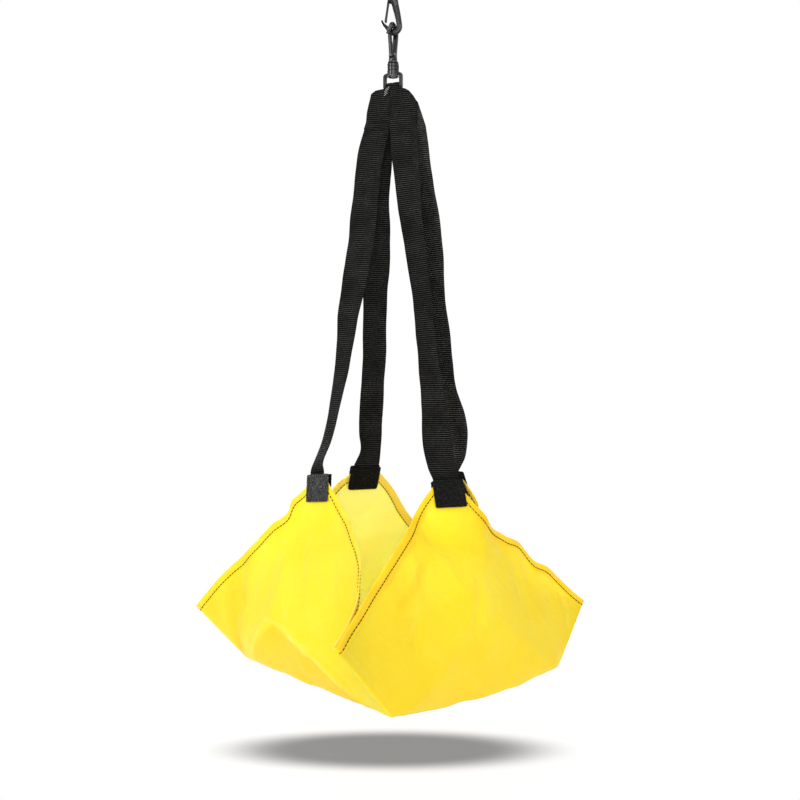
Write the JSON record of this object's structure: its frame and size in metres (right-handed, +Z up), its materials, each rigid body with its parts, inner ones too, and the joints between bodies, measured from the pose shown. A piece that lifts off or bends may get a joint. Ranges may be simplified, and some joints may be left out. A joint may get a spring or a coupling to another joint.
{
  "type": "swim parachute",
  "caption": "Square drag cloth hung by its corners on webbing straps, which gather at a swivelling snap hook that hangs in another one.",
  "frame": {"origin": "middle of the inner face of the upper eye's bar, where a tether bears and the object hangs", "axes": "+X to the right and +Y to the rear as the front view shows it, +Z up along the hanging line"},
  "size_m": [0.3762, 0.3259, 0.66],
  "materials": {
    "upper_eye": "moulded, glossy",
    "upper_hook": "moulded, glossy",
    "upper_gate": "moulded, glossy",
    "lower_hook": "moulded, glossy",
    "lower_gate": "moulded, glossy",
    "lower_eye": "moulded, glossy",
    "strap_front_left": "ribbed webbing",
    "strap_rear_left": "ribbed webbing",
    "strap_front_right": "ribbed webbing",
    "strap_rear_right": "ribbed webbing",
    "patch_outer_front_left": "woven, matt",
    "patch_inner_front_left": "woven, matt",
    "patch_outer_rear_left": "woven, matt",
    "patch_inner_rear_left": "woven, matt",
    "patch_outer_front_right": "woven, matt",
    "patch_inner_front_right": "woven, matt",
    "patch_outer_rear_right": "woven, matt",
    "patch_inner_rear_right": "woven, matt",
    "canopy": "coated cloth, satin"
  },
  "bodies": {
    "eye": {"upper_eye": "upper_eye"},
    "upper_hook": {"upper_hook": "upper_hook"},
    "upper_gate": {"upper_gate": "upper_gate"},
    "lower_hook": {"lower_hook": "lower_hook"},
    "lower_gate": {"lower_gate": "lower_gate"},
    "lower_eye": {"lower_eye": "lower_eye"},
    "harness": {"strap_front_left": "strap_front_left", "strap_rear_left": "strap_rear_left", "strap_front_right": "strap_front_right", "strap_rear_right": "strap_rear_right", "patch_outer_front_left": "patch_outer_front_left", "patch_inner_front_left": "patch_inner_front_left", "patch_outer_rear_left": "patch_outer_rear_left", "patch_inner_rear_left": "patch_inner_rear_left", "patch_outer_front_right": "patch_outer_front_right", "patch_inner_front_right": "patch_inner_front_right", "patch_outer_rear_right": "patch_outer_rear_right", "patch_inner_rear_right": "patch_inner_rear_right", "canopy": "canopy"}
  },
  "joints": [
    {"name": "upper_swivel", "type": "hinge", "parent": "eye", "child": "upper_hook", "pos_m": [0, 0, -0.012], "axis": [0, 0, 1], "continuous": true},
    {"name": "upper_gate_hinge", "type": "hinge", "parent": "upper_hook", "child": "upper_gate", "pos_m": [-0.00398, 0.00042, -0.0251], "axis": [-0.1045, -0.9945, 0], "range_deg": [0, 13], "stiffness_Nm_per_rad": 0.1, "springref_deg": -5.73},
    {"name": "hook_swing", "type": "hinge", "parent": "upper_hook", "child": "lower_hook", "pos_m": [0, 0, -0.0546], "axis": [-0.8988, 0.4384, 0], "range_deg": [-60, 60]},
    {"name": "lower_gate_hinge", "type": "hinge", "parent": "lower_hook", "child": "lower_gate", "pos_m": [-0.00175, -0.0036, -0.0776], "axis": [-0.8988, 0.4384, 0], "range_deg": [0, 13], "stiffness_Nm_per_rad": 0.1, "springref_deg": -5.73},
    {"name": "lower_swivel", "type": "hinge", "parent": "lower_hook", "child": "lower_eye", "pos_m": [0, 0, -0.09], "axis": [0, 0, 1], "continuous": true},
    {"name": "harness_swing", "type": "hinge", "parent": "lower_eye", "child": "harness", "pos_m": [0, 0, -0.1046], "axis": [0.9397, -0.342, 0], "range_deg": [-60, 60]}
  ]
}
